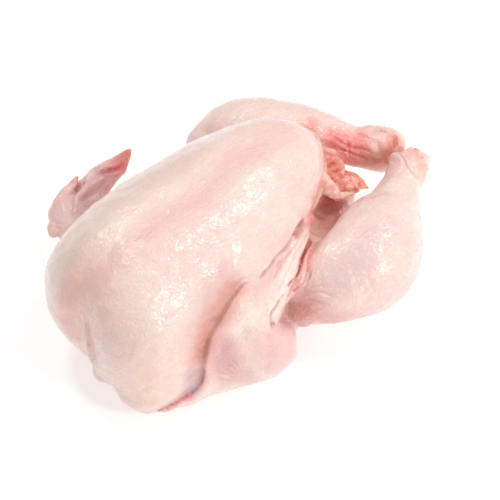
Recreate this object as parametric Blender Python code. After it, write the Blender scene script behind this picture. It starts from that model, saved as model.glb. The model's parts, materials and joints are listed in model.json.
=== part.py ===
"""Whole raw chicken, plucked and drawn, lying on its back with the breast up.

The bird is one piece. Each muscle and limb is a closed loft through a few oval stations. A voxel
remesh fuses the lofts, and strokes press the folds and raise the ridges of the skin.
Stations are in the bird's own frame: X runs from neck to tail along the keel, Y towards the
bird's far side, and Z up from the table. They hold its proportions, in units of a little under a
millimetre, and the finished bird is brought to OVERALL_LENGTH.
"""

import math

import bmesh
import bpy
import numpy as np
from mathutils import Matrix, Vector

MM = 0.001

# Driving dimension, in millimetres: the front of the breast to the hocks
OVERALL_LENGTH = 258

# Sizes in the stations' own units
BREAST_HEIGHT = 118
BREAST_HALF_WIDTH = 66
FUSE_VOXEL = 1.9
SEAM_SMOOTHING = 6
MOST_TRIANGLES = 10500
REST_FLAT = 1.5  # how much of the underside lies flat on the table
STEPS_PER_STATION = 6
RING_SIDES = 48
SKIN_COLOUR = (0.84, 0.62, 0.54, 1)
SKIN_ROUGHNESS = 0.35

# Torso stations: x, y of the keel, half width, underside, top, height of the widest point
TORSO = [
    (-112, -4, 16, 46, 76, 60),
    (-108, -6, 36, 30, 88, 56),
    (-98, -9, 54, 10, 103, 48),
    (-78, -7, 64, 1, 114, 44),
    (-40, -2, BREAST_HALF_WIDTH, 0, BREAST_HEIGHT, 48),
    (0, 0, 64, 0, BREAST_HEIGHT, 52),
    (40, 2, 57, 2, BREAST_HEIGHT, 58),
    (75, 4.5, 43.5, 10, 114, 66),
    (94, 5, 30, 26, 105, 73),
    (105, 4, 17, 46, 95, 76),
    (110, 3, 7, 62, 86, 76),
]

# Pelvis stations, under the rear of the breast
PELVIS = [
    (20, -2, 50, 0, 74, 30),
    (60, -3, 50, 0, 72, 30),
    (95, -5, 42, 1, 62, 28),
    (116, -8, 28, 6, 52, 26),
    (126, -9, 15, 14, 42, 26),
]

# Limb stations: x, y, z of the centre, half breadth across, half depth
NECK_FLAP = [
    (-80, -14, 34, 24, 22),
    (-90, -14, 27, 21, 16),
    (-99, -14, 19, 16, 11),
    (-104, -12, 14, 8, 6),
]
NEAR_SHOULDER = [
    (-102, -42, 15, 7, 7),
    (-97, -44, 18, 15, 13),
    (-86, -48, 22, 21, 20),
    (-70, -48, 25, 24, 23),
    (-50, -48, 25, 20, 22),
]
FAR_SHOULDER = [
    (-90, 34, 34, 12, 12),
    (-78, 38, 31, 24, 22),
    (-60, 41, 28, 24, 22),
]
NEAR_THIGH = [
    (88, -22, 32, 20, 20),
    (74, -38, 34, 30, 28),
    (54, -56, 36, 32, 28),
    (36, -70, 39, 28, 25),
    (26, -75, 40, 18, 16),
    (16, -78, 36, 12, 10),
]
NEAR_DRUMSTICK = [
    (30, -70, 42, 14, 14),
    (42, -74, 43, 25, 25),
    (62, -78, 46, 33, 31),
    (84, -79.5, 49, 37.5, 32.5),
    (106, -71.5, 53, 31.5, 29.5),
    (126, -62, 55, 21.5, 20),
    (143, -52, 58.5, 14.5, 14),
    (154, -46, 60.5, 14.5, 14),
    (162, -41, 62.5, 13, 12.5),
]
FAR_THIGH = [
    (92, 16, 32, 20, 20),
    (86, 36, 36, 28, 27),
    (76, 56, 42, 30, 28),
    (66, 68, 46, 20, 20),
]
FAR_DRUMSTICK = [
    (64, 70, 47, 14, 14),
    (74, 69, 48, 24, 24),
    (94, 60, 51, 29, 28),
    (114, 43, 53, 25, 25),
    (134, 21, 52, 20, 19),
    (149, 3, 48.5, 15.5, 14.5),
    (160, -10, 49, 18, 17.5),
    (168, -19, 49, 16, 15),
    (173, -25, 49, 11, 10),
]
NEAR_HOCK_CUT = [
    (155, -46, 60.5, 12, 12),
    (159.5, -42.5, 62, 15.5, 14.5),
    (163, -38.5, 63.5, 15.5, 14.5),
]
FAR_HOCK_KNOB = [
    (150, 6, 54, 5, 5),
    (158, 0, 54, 9, 7.5),
    (166, -7, 53, 9, 7.5),
    (172, -13, 53, 5, 5),
]
VENT_FLAP = [
    (86, -17, 76, 10, 9),
    (93, -25, 71, 9, 7),
    (98, -30, 64, 7, 5),
    (103, -34, 58, 3, 2.5),
]
TAIL = [
    (104, -12, 34, 20, 14),
    (116, -14, 40, 16, 11),
    (126, -16, 41, 11, 8),
    (133, -20, 39, 6, 5),
    (137, -23, 37, 2, 2),
]
NEAR_UPPER_ARM = [
    (-76, -50, 22, 16, 16),
    (-50, -61, 20, 19, 18),
    (-20, -72, 20, 21, 19),
    (0, -81, 20, 19, 17),
    (12, -89, 19, 9, 9),
]
NEAR_FOREARM = [
    (10, -86, 22, 10, 9),
    (-4, -79, 28, 17, 15),
    (-13, -74, 44, 16, 17),
    (-18, -70, 58, 15, 15),
    (-21, -68, 62, 9, 9),
]
NEAR_HAND = [
    (-36, -65, 60, 3, 4),
    (-31, -65, 63, 9, 10),
    (-20, -66, 66, 12, 14),
    (-8, -65, 67, 11, 14),
    (8, -61, 65, 9, 12),
    (24, -58, 66, 8, 10),
    (38, -55, 67, 7, 9),
    (52, -49, 69, 6, 7),
    (64, -43, 69, 4, 5),
    (72, -39, 67, 1.5, 2),
]
NEAR_HAND_EDGE = [
    (4, -71, 43, 6, 8),
    (22, -67, 46, 6, 9),
    (38, -62, 49, 6, 8),
    (54, -54, 53, 5, 7),
    (66, -46, 56, 2.5, 3.5),
]
NEAR_HAND_FRILL = [
    (-4, -78, 30, 6, 7),
    (14, -74, 34, 5.5, 7),
    (30, -68, 38, 3.5, 5),
]
NEAR_WING_PAD = [
    (-52, -66, 32, 5, 14),
    (-47, -67, 34, 9, 28),
    (-36, -68, 34, 14, 33),
    (-20, -72, 32, 19, 31),
    (-4, -79, 27, 19, 25),
    (8, -87, 22, 13, 16),
]
NEAR_WEB = [
    (-88, -56, 8, 4, 4),
    (-74, -63, 9, 7, 6),
    (-62, -67, 11, 9, 8),
    (-52, -68, 20, 9, 10),
    (-44, -67, 32, 9, 10),
]
FAR_UPPER_ARM = [
    (-74, 40, 30, 16, 16),
    (-45, 54, 26, 20, 18),
    (-18, 66, 22, 18, 16),
    (-2, 72, 20, 9, 8),
]
FAR_FOREARM = [
    (-2, 70, 20, 9, 8),
    (-16, 78, 22, 16, 14),
    (-35, 89, 25, 17, 15),
    (-49, 96, 27, 15, 13),
    (-56, 99, 28, 8, 8),
]
FAR_HAND = [
    (-52, 97, 28, 9, 8),
    (-43, 102, 30, 13, 11),
    (-26, 105, 31, 12, 9.5),
    (-5, 107.5, 32, 11, 8.5),
    (12, 111, 33, 8.5, 7),
    (22, 114, 35, 5, 4.5),
    (30, 117, 37, 1.5, 1.5),
]
FAR_THUMB = [
    (-46, 106, 34, 6, 5),
    (-36, 109, 38, 4.5, 4),
    (-26, 111, 41, 1.5, 1.5),
]

LIMBS = {
    "neck_flap": NECK_FLAP,
    "near_shoulder": NEAR_SHOULDER,
    "far_shoulder": FAR_SHOULDER,
    "near_thigh": NEAR_THIGH,
    "near_drumstick": NEAR_DRUMSTICK,
    "far_thigh": FAR_THIGH,
    "far_drumstick": FAR_DRUMSTICK,
    "near_hock_cut": NEAR_HOCK_CUT,
    "far_hock_knob": FAR_HOCK_KNOB,
    "vent_flap": VENT_FLAP,
    "tail": TAIL,
    "near_upper_arm": NEAR_UPPER_ARM,
    "near_forearm": NEAR_FOREARM,
    "near_hand": NEAR_HAND,
    "near_hand_edge": NEAR_HAND_EDGE,
    "near_hand_frill": NEAR_HAND_FRILL,
    "near_wing_pad": NEAR_WING_PAD,
    "near_web": NEAR_WEB,
    "far_upper_arm": FAR_UPPER_ARM,
    "far_forearm": FAR_FOREARM,
    "far_hand": FAR_HAND,
    "far_thumb": FAR_THUMB,
}

# Hollow of the vent: centre, radii, and nose-up tilt in degrees
VENT_CENTRE = (112, -6, 60)
VENT_RADII = (26, 17, 11)
VENT_TILT = -12

# Strokes along the skin, through x, y, z, width and depth: a depth under zero raises a ridge
STROKES = {
    "keel_furrow": [
        (-100, -10, 18, 13, 5),
        (-108, -8, 46, 15, 8),
        (-103, -6, 80, 17, 8),
        (-88, -4, 104, 18, 4.5),
        (-60, -2, 117, 18, 2.2),
        (0, 0, 119, 16, 1.8),
        (60, 2, 118, 15, 1.8),
        (104, 2, 103, 12, 0.6),
    ],
    "near_flank": [
        (44, -58, 66, 9, 2),
        (62, -50, 68, 11, 6),
        (78, -42, 66, 12, 7),
        (94, -32, 56, 12, 6),
    ],
    "far_crop": [
        (-104, 10, 22, 14, 2),
        (-104, 24, 28, 16, 7),
        (-98, 42, 28, 16, 5),
    ],
    "far_flank": [
        (44, 60, 66, 9, 2),
        (62, 52, 68, 11, 5),
        (80, 44, 68, 12, 5),
    ],
}


def spread(stations, steps):
    """The stations with more between them, on a Catmull-Rom curve through all their numbers."""
    rows = [np.array(row, float) for row in stations]
    rows = [2 * rows[0] - rows[1]] + rows + [2 * rows[-1] - rows[-2]]
    track = []
    for before, start, end, after in zip(rows, rows[1:], rows[2:], rows[3:]):
        for step in range(steps):
            t = step / steps
            track.append(
                0.5
                * (
                    2 * start
                    + (end - before) * t
                    + (2 * before - 5 * start + 4 * end - after) * t**2
                    + (3 * start - before - 3 * end + after) * t**3
                )
            )
    track.append(rows[-2])
    return track


def skin_rings(name, rings):
    """A closed mesh object through rings of points in millimetres, with a fan over each end."""
    form = bmesh.new()
    loops = [[form.verts.new(Vector(point) * MM) for point in ring] for ring in rings]
    count = len(loops[0])
    for loop, following in zip(loops, loops[1:]):
        for i in range(count):
            j = (i + 1) % count
            form.faces.new((loop[i], loop[j], following[j], following[i]))
    for loop in (loops[0], loops[-1]):
        middle = form.verts.new(sum((v.co for v in loop), Vector()) / count)
        for i in range(count):
            form.faces.new((loop[i], loop[(i + 1) % count], middle))
    bmesh.ops.recalc_face_normals(form, faces=form.faces)
    mesh = bpy.data.meshes.new(name)
    form.to_mesh(mesh)
    form.free()
    piece = bpy.data.objects.new(name, mesh)
    bpy.context.scene.collection.objects.link(piece)
    return piece


def trunk(name, stations, roundness=2.2, flatness=2.8):
    """A loft across X whose sections are rounder above their widest point than below it."""
    rings = []
    for x, y, half, low, high, wide in spread(stations, STEPS_PER_STATION):
        ring = []
        for i in range(RING_SIDES):
            turn = math.tau * i / RING_SIDES
            c, s = math.cos(turn), math.sin(turn)
            power = 2 / (roundness if s > 0 else flatness)
            reach = high - wide if s > 0 else wide - low
            ring.append(
                (
                    x,
                    y + half * math.copysign(abs(c) ** power, c),
                    wide + reach * math.copysign(abs(s) ** power, s),
                )
            )
        rings.append(ring)
    return skin_rings(name, rings)


def limb(name, stations, up=(0, 0, 1)):
    """A loft of oval rings square to the line through the stations; up is across the half depth."""
    track = spread(stations, STEPS_PER_STATION)
    centres = [Vector(row[:3]) for row in track]
    rings = []
    for i, row in enumerate(track):
        ahead = centres[min(i + 1, len(centres) - 1)] - centres[max(i - 1, 0)]
        across = ahead.cross(Vector(up)).normalized()
        over = across.cross(ahead).normalized()
        ring = []
        for k in range(RING_SIDES):
            turn = math.tau * k / RING_SIDES
            point = centres[i] + across * (row[3] * math.cos(turn))
            ring.append(point + over * (row[4] * math.sin(turn)))
        rings.append(ring)
    return skin_rings(name, rings)


def fuse(name, pieces):
    """One closed skin round all the pieces, which it uses up."""
    whole = bmesh.new()
    for piece in pieces:
        whole.from_mesh(piece.data)
        bpy.data.objects.remove(piece)
    mesh = bpy.data.meshes.new(name)
    whole.to_mesh(mesh)
    whole.free()
    body = bpy.data.objects.new(name, mesh)
    bpy.context.scene.collection.objects.link(body)
    remesh = body.modifiers.new("fuse", "REMESH")
    remesh.mode = "VOXEL"
    remesh.voxel_size = FUSE_VOXEL * MM
    seams = body.modifiers.new("seams", "SMOOTH")
    seams.factor = 0.5
    seams.iterations = SEAM_SMOOTHING
    apply_modifiers(body)
    return body


def apply_modifiers(body):
    graph = bpy.context.evaluated_depsgraph_get()
    mesh = bpy.data.meshes.new_from_object(body.evaluated_get(graph))
    old = body.data
    body.modifiers.clear()
    body.data = mesh
    bpy.data.meshes.remove(old)


def hollow_vent(body):
    """Cuts the hollow between the end of the breast and the tail."""
    form = bmesh.new()
    place = Matrix.Translation(Vector(VENT_CENTRE) * MM)
    place = place @ Matrix.Rotation(math.radians(VENT_TILT), 4, "Y")
    place = place @ Matrix.Diagonal((*(Vector(VENT_RADII) * MM), 1))
    bmesh.ops.create_uvsphere(form, u_segments=32, v_segments=20, radius=1, matrix=place)
    mesh = bpy.data.meshes.new("vent_cutter")
    form.to_mesh(mesh)
    form.free()
    cutter = bpy.data.objects.new("vent_cutter", mesh)
    bpy.context.scene.collection.objects.link(cutter)
    cut = body.modifiers.new("vent", "BOOLEAN")
    cut.operation = "DIFFERENCE"
    cut.object = cutter
    apply_modifiers(body)
    bpy.data.objects.remove(cutter)


def stroke(body, stations):
    """Pushes the skin inwards along the path, by depth at its middle and nothing at width from it."""
    mesh = body.data
    points = np.empty(len(mesh.vertices) * 3)
    mesh.vertices.foreach_get("co", points)
    normals = np.empty(len(mesh.vertices) * 3)
    mesh.vertex_normals.foreach_get("vector", normals)
    points, normals = points.reshape(-1, 3), normals.reshape(-1, 3)
    track = np.array(spread(stations, STEPS_PER_STATION)) * MM
    near, push = np.full(len(points), np.inf), np.zeros(len(points))
    for start, end in zip(track, track[1:]):
        along = end[:3] - start[:3]
        share = np.clip((points - start[:3]) @ along / (along @ along), 0, 1)[:, None]
        gap = np.linalg.norm(points - start[:3] - share * along, axis=1)
        width, depth = (start[3:] + share * (end[3:] - start[3:])).T
        closer = gap / width < near
        near = np.where(closer, gap / width, near)
        push = np.where(closer, depth, push)
    push *= np.clip(1 - near**2, 0, 1) ** 2
    mesh.vertices.foreach_set("co", (points - normals * push[:, None]).ravel())
    mesh.update()


def settle(body, slack=0):
    """Flattens the underside where the weight of the bird presses it on the table."""
    floor = REST_FLAT * MM
    for point in body.data.vertices:
        if point.co.z < floor + slack:
            point.co.z = floor


def lighten(body):
    """Fewer triangles, real size, and the origin under the middle of the bird's box."""
    settle(body)
    fewer = body.modifiers.new("fewer", "DECIMATE")
    fewer.ratio = MOST_TRIANGLES / sum(len(face.vertices) - 2 for face in body.data.polygons)
    apply_modifiers(body)
    settle(body, slack=0.2 * MM)
    low, high = Vector(body.bound_box[0]), Vector(body.bound_box[6])
    middle = Vector(((low.x + high.x) / 2, (low.y + high.y) / 2, low.z))
    scale = OVERALL_LENGTH * MM / (high.x - low.x)
    body.data.transform(Matrix.Scale(scale, 4) @ Matrix.Translation(-middle))


def skin_material():
    skin = bpy.data.materials.new("raw_skin")
    skin.use_nodes = True
    surface = skin.node_tree.nodes["Principled BSDF"]
    surface.inputs["Base Color"].default_value = SKIN_COLOUR
    surface.inputs["Roughness"].default_value = SKIN_ROUGHNESS
    return skin


def main():
    for old in list(bpy.data.objects):
        bpy.data.objects.remove(old)
    pieces = [trunk("torso", TORSO), trunk("pelvis", PELVIS)]
    pieces += [limb(name, stations) for name, stations in LIMBS.items()]
    chicken = fuse("chicken", pieces)
    hollow_vent(chicken)
    for stations in STROKES.values():
        stroke(chicken, stations)
    lighten(chicken)
    chicken.data.materials.append(skin_material())


main()
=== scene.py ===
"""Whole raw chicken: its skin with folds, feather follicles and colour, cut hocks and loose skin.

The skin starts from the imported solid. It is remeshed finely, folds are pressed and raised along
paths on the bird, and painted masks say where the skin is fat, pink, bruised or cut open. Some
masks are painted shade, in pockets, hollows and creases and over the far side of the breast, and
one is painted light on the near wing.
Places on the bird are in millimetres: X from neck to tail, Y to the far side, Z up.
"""

import json
import math

import bpy
import numpy as np
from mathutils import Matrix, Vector, noise

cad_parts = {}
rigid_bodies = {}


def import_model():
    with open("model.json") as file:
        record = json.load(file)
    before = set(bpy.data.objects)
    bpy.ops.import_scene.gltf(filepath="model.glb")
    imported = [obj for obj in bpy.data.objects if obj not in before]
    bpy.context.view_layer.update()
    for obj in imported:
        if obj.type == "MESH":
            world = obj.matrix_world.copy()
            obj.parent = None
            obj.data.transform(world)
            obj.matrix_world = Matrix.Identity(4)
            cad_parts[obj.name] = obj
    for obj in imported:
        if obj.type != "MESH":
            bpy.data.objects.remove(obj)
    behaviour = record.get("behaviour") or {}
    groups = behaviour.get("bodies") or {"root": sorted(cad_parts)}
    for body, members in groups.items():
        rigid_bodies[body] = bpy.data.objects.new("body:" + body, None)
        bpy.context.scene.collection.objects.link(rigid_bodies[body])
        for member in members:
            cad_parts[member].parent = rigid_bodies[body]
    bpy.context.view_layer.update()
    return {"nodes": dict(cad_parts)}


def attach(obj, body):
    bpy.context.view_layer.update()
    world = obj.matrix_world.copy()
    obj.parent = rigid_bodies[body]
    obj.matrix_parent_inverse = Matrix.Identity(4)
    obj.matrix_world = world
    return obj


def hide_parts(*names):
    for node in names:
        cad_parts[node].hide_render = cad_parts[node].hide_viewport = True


bl_info = {
    "name": "Whole Raw Chicken",
    "version": (1, 0, 0),
    "blender": (4, 5, 0),
    "location": "View3D > Sidebar > Chicken",
    "description": "Builds the skin, the cut joints and the loose skin of a whole raw chicken",
    "category": "Object",
}

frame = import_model()
BIRD = "chicken"
MM = 0.001
MERGE_DISTANCE = 1e-6

# How far under the skin a path may lie, in millimetres, and what a millimetre of depth counts for
DEPTH_SLACK = 3.5
DEPTH_WEIGHT = 0.3

# How far each kind of fold reaches, in widths, and how its height fades towards the path's ends
FOLD_REACH = {"crease": 4, "ridge": 2.2, "dent": 1.6, "step": 1.8, "ripple": 1.5}
END_SHARE = 0.25
LONG_PATH = 14
LONG_FADE = 6
SHORT_FADE = 3

# A crease raises a low lip on both sides. A step has a soft edge and a shadow line under it.
CREASE_LIP = 0.35
STEP_EDGE = 0.45
STEP_UNDERCUT = 0.35
STEP_UNDERCUT_PLACE = 1.4
STEP_UNDERCUT_WIDTH = 1.6
STEP_REACH = 1.6
RIPPLE_GAP = 2.8

# Rings and segments of the spheres that are drawn out into fingers, leaves and lumps
FINGER_FACES = {"segments": 24, "ring_count": 40}
LEAF_FACES = {"segments": 24, "ring_count": 30}
LUMP_FACES = {"segments": 32, "ring_count": 20}
END_ROUNDNESS = 6
FINGER_STEPS = 6

# How the edge of a leaf waves: share of its width, height in millimetres for a wave of 1, and
# the turns of its three waves
LEAF_WAVE = 0.14
WAVE_LIFT = 3
WAVES = (23, 41, 17)

# Sizes of noise in millimetres: swellings of flesh, puckers of skin, the grain of cut tissue, and
# the crumples of thin skin
SWELL_SIZE = 17.0
PUCKER_SIZE = 5.5
GRAIN_SIZE = 1.2
GRAIN_DEPTH = 0.3
CRUMPLE_SIZE = 3.0
NOISE_ROUGHNESS = 0.6
NOISE_STEP = 2.0
PAINT_FALLOFF = 1.5

# Heights of the crumples in millimetres, and sizes of the blood-stained spots on each tissue
LEAF_CRUMPLE = 0.55
GRISTLE_CRUMPLE = 0.3
TORN_SPOTS = 3.5
LOOSE_SPOTS = 5.0
GRISTLE_SPOTS = 6.0

# Passes of smoothing on the skin and the gristle, and length of one face of the gristle
SKIN_SMOOTHING = 5
GRISTLE_SMOOTHING = 4
GRISTLE_STEP = 0.7

# Flesh added to the solid before the skin goes over it: its path, its half widths and half
# thicknesses along the path, and the direction that it faces. Places are in millimetres.
FLESH = {
    "near_hand": (
        [
            (-43, -72, 49), (-34, -69, 53), (-26, -65, 56), (-18, -61, 59), (-9, -57, 62),
            (0, -52, 64), (9, -48, 65), (18, -43, 66), (28, -39, 67),
        ],
        (6, 7, 7.4, 7, 6, 5.2, 4.6, 4.2, 3.4),
        (5, 5, 5.4, 5.4, 5, 4.4, 3.8, 3.4, 3),
        (-0.3, -0.6, 0.74),
    ),
    "near_second_digit": (
        [
            (-36, -78, 50), (-31, -74, 50), (-24, -68, 47), (-18, -65, 48), (-11, -64, 50),
            (-6, -64, 53), (1, -61, 57), (8, -56, 58), (16, -50, 56), (22, -45, 54),
        ],
        (1, 2.4, 3.4, 3.8, 3.6, 3.4, 3, 2.7, 2.2, 1.4),
        (2.4, 3, 3.4, 3.6, 3.6, 3.4, 3, 2.8, 2.4, 1.6),
        (-0.4, -0.5, 0.77),
    ),
    "far_thumb": (
        [(-74, 92, 32), (-67, 95, 33), (-60, 97, 34), (-54, 98, 36), (-49, 99, 37)],
        (4, 3.6, 3, 2.4, 1.4),
        (3, 3, 2.6, 2, 1.2),
        (0, 0.2, 1),
    ),
    "far_hand_edge": (
        [(-50, 95, 32), (-40, 98, 32), (-30, 99, 32), (-20, 99, 32)],
        (2, 4, 3.5, 2),
        (2, 3, 2.6, 2),
        (0, 0.2, 1),
    ),
    "far_leg_fold": (
        [(60, -5, 73), (66, -10, 68), (71, -10, 62), (76, -9, 58), (82, -5, 53)],
        (3, 4.6, 5, 4.6, 2.6),
        (1.8, 2.4, 2.6, 2.4, 2),
        (-0.4, -0.5, 0.77),
    ),
    "far_hock_knob": (
        [(100, 3, 50), (107, -2, 50), (114, -10, 49)],
        (6, 8, 7),
        (5, 6.5, 6),
        (0, 0, 1),
    ),
    "far_thigh_front": (
        [(44, 64, 54), (34, 65, 51), (25, 65, 45), (18, 60, 36)],
        (9, 10, 10, 9),
        (6, 7, 8, 6),
        (-0.4, -0.2, 0.9),
    ),
    "far_wrist": (
        [(-85, 78, 24), (-80, 84, 25), (-75, 88, 26)],
        (3, 4.5, 3),
        (3, 4, 3),
        (0, 0.2, 1),
    ),
}

# Folds of the skin. Each row is a way of working the skin, its width and height in millimetres,
# and the path that it follows. A step stands proud on the right of its path, seen from outside.
FOLDS = {
    # Near wing
    "wing_edge": ("step", 8, 2.8, [
        (-110, -60, 13), (-104, -62, 14), (-97, -64, 16), (-89, -66, 19), (-83, -67, 24),
        (-79, -65, 31), (-78, -64, 40), (-75, -63, 48), (-72, -62, 55), (-66, -61, 60),
        (-56, -59, 66), (-44, -56, 71), (-35, -54, 71),
    ]),
    "hand_line": ("crease", 0.9, 1.0, [
        (-28, -55, 68), (-19, -52, 67), (-12, -50, 69), (-3, -48, 69), (4, -46, 71),
        (11, -44, 73), (16, -42, 73),
    ]),
    "hand_streak_a": ("crease", 0.9, 0.45, [
        (-30, -62, 66), (-20, -58, 67), (-10, -54, 68), (0, -51, 68), (10, -48, 69),
    ]),
    "hand_streak_b": ("crease", 0.8, 0.4, [
        (-22, -65, 62), (-12, -60, 64), (-2, -55, 66), (8, -51, 67), (18, -46, 67),
    ]),
    "second_streak": ("crease", 0.8, 0.4, [
        (-24, -69, 52), (-17, -67, 53), (-10, -66, 54), (-3, -63, 58), (5, -58, 60),
    ]),
    "digit_line": ("crease", 0.9, 1.4, [
        (22, -44, 55), (17, -48, 57), (10, -52, 60), (5, -55, 60), (1, -58, 59), (-4, -61, 59),
        (-10, -64, 60), (-15, -66, 61),
    ]),
    "digit_edge_line": ("crease", 0.9, 0.8, [
        (13, -54, 59), (8, -58, 60), (4, -62, 59), (0, -66, 57), (-3, -66, 54), (-7, -67, 54),
        (-11, -67, 53), (-14, -67, 50),
    ]),
    "frill_line": ("crease", 0.9, 0.6, [
        (-22, -69, 60), (-26, -70, 59), (-30, -71, 57), (-34, -72, 56), (-36, -74, 53),
        (-36, -76, 49),
    ]),
    "wrist_line_a": ("crease", 0.9, 0.7, [(-39, -55, 71), (-36, -59, 69), (-34, -63, 67)]),
    "wrist_line_b": ("crease", 0.9, 0.7, [(-42, -57, 70), (-40, -63, 69), (-38, -67, 65)]),
    "wrist_line_c": ("crease", 0.9, 0.6, [(-42, -63, 68), (-41, -67, 64), (-39, -70, 58)]),
    "elbow_line": ("crease", 1.8, 0.8, [(-50, -76, 52), (-44, -78, 49), (-40, -80, 45)]),
    "wing_wrinkles": ("ripple", 10, 0.5, [
        (-72, -70, 31), (-67, -73, 26), (-60, -78, 19), (-50, -82, 12),
    ]),
    # Near thigh, and the end of the breast beside it
    "thigh_gather": ("crease", 0.9, 0.5, [(-8, -68, 50), (-2, -72, 53), (4, -78, 57)]),
    "thigh_gather_b": ("crease", 0.9, 0.5, [
        (-11, -69, 48), (-5, -72, 50), (0, -78, 53), (5, -85, 51),
    ]),
    "thigh_gather_c": ("crease", 0.9, 0.5, [
        (-13, -69, 45), (-7, -73, 47), (-2, -80, 47), (4, -87, 46),
    ]),
    "thigh_edge": ("step", 7, 1.4, [
        (18, -54, 56), (26, -48, 54), (36, -43, 52), (48, -36, 48), (62, -28, 40),
    ]),
    "breast_end": ("ridge", 2.6, 1.0, [
        (75, 18, 62), (68, 6, 74), (63, 0, 80), (60, -8, 81), (55, -15, 81), (49, -22, 79),
        (42, -28, 78), (34, -32, 77), (22, -39, 73),
    ]),
    "breast_end_line": ("crease", 1.6, 1.2, [
        (62, -14, 76), (56, -20, 75), (49, -26, 73), (42, -31, 71), (32, -36, 70),
    ]),
    "flank_hollow": ("dent", 11, 3.0, [
        (54, -27, 48), (44, -34, 50), (34, -39, 51), (27, -43, 52),
    ]),
    # Neck end
    "crop_line": ("dent", 6, 1.3, [
        (-116, -14, 87), (-120, -18, 82), (-125, -21, 74), (-128, -22, 62), (-128, -23, 52),
    ]),
    "crop_fold": ("crease", 2.6, 0.8, [
        (-124, -18, 76), (-127, -20, 66), (-129, -22, 56), (-129, -24, 48), (-129, -25, 42),
        (-127, -26, 32),
    ]),
    # Hocks
    "cuff_skin": ("step", 5, 1.3, [
        (107, -25, 50), (104, -32, 60), (103, -38, 63), (100, -46, 63), (100, -53, 60),
        (101, -58, 53),
    ]),
    "cuff_edge": ("ridge", 1.8, 1.2, [
        (119, -24, 50), (114, -36, 62), (112, -44, 64), (113, -51, 60), (110, -57, 53),
    ]),
    "far_hock_line": ("crease", 1.8, 0.6, [
        (98, 4, 54), (101, -6, 57), (103, -15, 56), (101, -21, 50),
    ]),
    "far_hock_slit": ("crease", 1.3, 1.6, [(117, -17, 55), (114, -21, 54), (111, -23, 52)]),
    # Far wing
    "far_hand_hollow": ("dent", 5, 1.8, [
        (-24, 91, 31), (-36, 88, 31), (-48, 84, 31), (-60, 78, 33),
    ]),
    "far_hand_bone": ("ridge", 3, 1.2, [
        (-29, 90, 31), (-36, 91, 33), (-44, 91, 34), (-56, 88, 35), (-66, 84, 34),
    ]),
    "far_tip_line": ("crease", 1.5, 1.8, [
        (-34, 95, 33), (-28, 93, 33), (-22, 92, 31), (-16, 93, 30),
    ]),
    "far_thumb_gap": ("crease", 1.6, 3.5, [
        (-47, 97, 35), (-51, 94, 34), (-56, 92, 34), (-62, 90, 34),
    ]),
    "far_wrist_line": ("crease", 2.0, 1.0, [(-62, 92, 35), (-66, 85, 34), (-72, 78, 34)]),
    # Vent and far leg
    "vent_lip": ("ridge", 3.0, 1.2, [
        (70, 10, 56), (80, 2, 46), (82, -8, 43), (76, -18, 42), (64, -24, 46),
    ]),
    "far_thigh_line": ("crease", 3.0, 1.2, [
        (30, 44, 68), (42, 42, 70), (54, 34, 72), (64, 24, 72),
    ]),
    "far_leg_gather_a": ("crease", 0.9, 0.45, [
        (88, 12, 59), (91, 6, 56), (95, -1, 55), (100, -8, 54),
    ]),
    "far_leg_gather_b": ("crease", 0.9, 0.6, [
        (85, 9, 56), (88, 2, 54), (92, -4, 51), (97, -10, 51), (101, -16, 50),
    ]),
    "far_leg_gather_c": ("crease", 0.9, 0.6, [
        (84, 3, 51), (88, -2, 49), (92, -8, 47), (96, -14, 46),
    ]),
    "far_leg_gather_d": ("crease", 0.9, 0.6, [
        (94, 9, 59), (92, 2, 56), (90, -3, 51), (88, -6, 46),
    ]),
    "vent_fold_a": ("crease", 0.8, 0.6, [
        (60, -5, 75), (66, -11, 69), (72, -12, 62), (79, -9, 56),
    ]),
    "vent_fold_b": ("crease", 0.8, 0.6, [(63, -3, 73), (69, -7, 68), (75, -7, 61)]),
}

# Leaves of skin round the vent, drawn out like the flesh. The last value is the kind of skin.
VENT_LEAVES = {
    "upper_vent_leaf": (
        [(56, -23, 54), (60, -21, 57), (62, -18, 61), (65, -15, 65), (68, -12, 69)],
        (3, 7.5, 8, 7.5, 4),
        (1.1, 1.1, 1, 0.9, 0.5),
        (-0.6, -0.5, 0.6),
        "torn",
    ),
    "long_vent_leaf": (
        [(57, -24, 56), (63, -27, 58), (68, -30, 58), (72, -34, 57), (75, -38, 55)],
        (1.5, 4.6, 5, 3.6, 0.8),
        (1.2, 1.2, 1.1, 0.9, 0.4),
        (-0.3, -0.4, 0.87),
        "torn",
    ),
    "inner_vent_leaf": (
        [(49, -20, 77), (47, -25, 73), (48, -29, 68), (52, -33, 62), (56, -34, 58)],
        (2.5, 4.4, 4.6, 3.4, 1.5),
        (1.6, 1.9, 1.9, 1.5, 1),
        (-0.5, -0.6, 0.6),
        "loose",
    ),
    "lower_vent_leaf": (
        [(52, -29, 55), (58, -31, 54), (65, -32, 53), (71, -34, 52)],
        (1.6, 2.4, 2.2, 0.8),
        (1.4, 1.6, 1.5, 0.8),
        (-0.4, -0.5, 0.8),
        "loose",
    ),
}

# Lumps of gristle in the cut hocks: centres and radii in millimetres
HOCK_LUMPS = {
    "near_hock_gristle": (
        ((113, -44, 53), (5.5, 6.5, 6.5)),
        ((116, -35, 52), (5.5, 6.5, 6.5)),
        ((111, -40, 46), (6, 7, 5)),
    ),
    "far_hock_gristle": (((116, -13, 46), (5.5, 5.5, 6)), ((113, -18, 42), (5, 5, 5))),
}
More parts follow.
